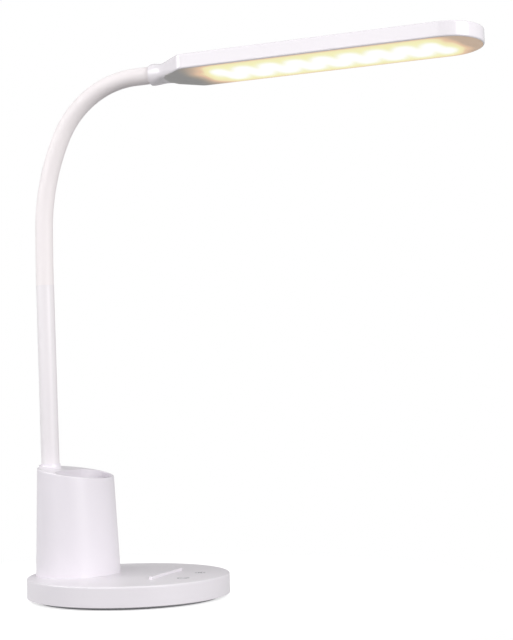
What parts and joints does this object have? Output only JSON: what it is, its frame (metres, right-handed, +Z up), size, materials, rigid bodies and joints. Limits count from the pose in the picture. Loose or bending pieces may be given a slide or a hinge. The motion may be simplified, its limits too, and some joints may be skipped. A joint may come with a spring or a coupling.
{
  "type": "desk lamp",
  "caption": "White gooseneck desk lamp: round base with an oval pen cup and phone ledge, straight stem, flexible neck and a long flat lit head with a round end.",
  "frame": {"origin": "centre of the round base, on the desk it stands on", "axes": "+Z up, +X from the stem towards the head's tip, +Y to the lamp's left seen from behind"},
  "size_m": [0.34, 0.145, 0.3865],
  "materials": {
    "white_gloss": "satin gloss moulded white",
    "cup_white": "satin moulded white",
    "stem_white": "smooth white paint",
    "silicone": "matte silicone, warm white",
    "diffuser": "milky, lit from behind",
    "plate": "matte moulded",
    "foot_rubber": "soft foam rubber",
    "steel": "plain steel",
    "conduit": "turned steel",
    "battery_pouch": "foil pouch",
    "circuit_board": "solder mask",
    "lead_cover": "lead insulation",
    "led_plate": "white coated board",
    "led_package": "phosphor"
  },
  "bodies": {
    "base": {"base_shell": "white_gloss", "phone_ledge": "white_gloss", "pen_cup": "cup_white", "stem_tube": "stem_white", "neck_sleeve": "silicone", "bottom_plate": "plate", "foot_pad": "foot_rubber", "counterweight": "steel", "stem_washer": "steel", "stem_nut": "steel", "base_screws": "steel", "weight_screws": "steel", "cup_screws": "steel", "usb_inlet": "steel", "touch_springs": "steel", "neck_root": "steel", "battery": "battery_pouch", "control_board": "circuit_board", "touch_board": "circuit_board", "board_spacers": "cup_white", "touch_legs": "cup_white", "battery_lead": "lead_cover", "touch_lead": "lead_cover", "neck_lead": "lead_cover"},
    "neck_01": {"conduit_link_01": "conduit"},
    "neck_02": {"conduit_link_02": "conduit"},
    "neck_03": {"conduit_link_03": "conduit"},
    "neck_04": {"conduit_link_04": "conduit"},
    "neck_05": {"conduit_link_05": "conduit"},
    "neck_06": {"conduit_link_06": "conduit"},
    "neck_07": {"conduit_link_07": "conduit"},
    "neck_08": {"conduit_link_08": "conduit"},
    "neck_09": {"conduit_link_09": "conduit"},
    "neck_10": {"conduit_link_10": "conduit"},
    "neck_11": {"conduit_link_11": "conduit"},
    "neck_12": {"conduit_link_12": "conduit"},
    "neck_13": {"conduit_link_13": "conduit"},
    "head": {"neck_ferrule": "steel", "head_housing": "white_gloss", "diffuser": "diffuser", "led_board": "led_plate", "led_chips": "led_package", "neck_nut": "steel"}
  },
  "joints": [
    {"name": "neck_bend_lower", "type": "hinge", "parent": "base", "child": "neck_01", "pos_m": [-0.06556, 0, 0.236], "axis": [0.001, 1, 0.001], "range_deg": [-4, 8], "deforming": ["neck_sleeve", "neck_lead"]},
    {"name": "neck_sway", "type": "hinge", "parent": "neck_01", "child": "neck_02", "pos_m": [-0.06575, 0, 0.25041], "axis": [-1, 0, -0.0075], "range_deg": [-12, 12]},
    {"name": "neck_bend_lower_2", "type": "hinge", "parent": "neck_02", "child": "neck_03", "pos_m": [-0.06578, 0, 0.26483], "axis": [0.001, 1, 0.001], "range_deg": [-4, 8]},
    {"name": "neck_bend_lower_3", "type": "hinge", "parent": "neck_03", "child": "neck_04", "pos_m": [-0.06548, 0, 0.27924], "axis": [0.001, 1, 0.001], "range_deg": [-4, 8]},
    {"name": "neck_sway_2", "type": "hinge", "parent": "neck_04", "child": "neck_05", "pos_m": [-0.06402, 0, 0.29357], "axis": [-0.9894, 0, 0.1452], "range_deg": [-12, 12]},
    {"name": "neck_bend_lower_4", "type": "hinge", "parent": "neck_05", "child": "neck_06", "pos_m": [-0.0613, 0, 0.30773], "axis": [0.001, 1, 0.001], "range_deg": [-4, 8]},
    {"name": "neck_bend_lower_5", "type": "hinge", "parent": "neck_06", "child": "neck_07", "pos_m": [-0.05735, 0, 0.32159], "axis": [0.001, 1, 0.001], "range_deg": [-4, 8]},
    {"name": "neck_sway_3", "type": "hinge", "parent": "neck_07", "child": "neck_08", "pos_m": [-0.05221, 0, 0.33505], "axis": [-0.9174, 0, 0.3979], "range_deg": [-12, 12]},
    {"name": "neck_bend_upper", "type": "hinge", "parent": "neck_08", "child": "neck_09", "pos_m": [-0.04551, 0, 0.34779], "axis": [0.001, 1, 0.001], "range_deg": [-18.75, 9]},
    {"name": "neck_bend_upper_2", "type": "hinge", "parent": "neck_09", "child": "neck_10", "pos_m": [-0.03635, 0, 0.35889], "axis": [0.001, 1, 0.001], "range_deg": [-18.75, 9]},
    {"name": "neck_sway_4", "type": "hinge", "parent": "neck_10", "child": "neck_11", "pos_m": [-0.02508, 0, 0.36783], "axis": [-0.5355, 0, 0.8445], "range_deg": [-12, 12]},
    {"name": "neck_bend_upper_3", "type": "hinge", "parent": "neck_11", "child": "neck_12", "pos_m": [-0.01219, 0, 0.37421], "axis": [0.001, 1, 0.001], "range_deg": [-18.75, 9]},
    {"name": "neck_bend_upper_4", "type": "hinge", "parent": "neck_12", "child": "neck_13", "pos_m": [0.00176, 0, 0.37776], "axis": [0.001, 1, 0.001], "range_deg": [-18.75, 9]},
    {"name": "neck_sway_5", "type": "hinge", "parent": "neck_13", "child": "head", "pos_m": [0.01614, 0, 0.37852], "axis": [-0.0105, 0, 0.9999], "range_deg": [-12, 12]}
  ],
  "couplings": [
    {"joint": "neck_bend_lower_2", "follows": "neck_bend_lower", "ratio": 1},
    {"joint": "neck_bend_lower_3", "follows": "neck_bend_lower", "ratio": 1},
    {"joint": "neck_sway_2", "follows": "neck_sway", "ratio": 1},
    {"joint": "neck_bend_lower_4", "follows": "neck_bend_lower", "ratio": 1},
    {"joint": "neck_bend_lower_5", "follows": "neck_bend_lower", "ratio": 1},
    {"joint": "neck_sway_3", "follows": "neck_sway", "ratio": 1},
    {"joint": "neck_bend_upper_2", "follows": "neck_bend_upper", "ratio": 1},
    {"joint": "neck_sway_4", "follows": "neck_sway", "ratio": 1},
    {"joint": "neck_bend_upper_3", "follows": "neck_bend_upper", "ratio": 1},
    {"joint": "neck_bend_upper_4", "follows": "neck_bend_upper", "ratio": 1},
    {"joint": "neck_sway_5", "follows": "neck_sway", "ratio": 1}
  ]
}
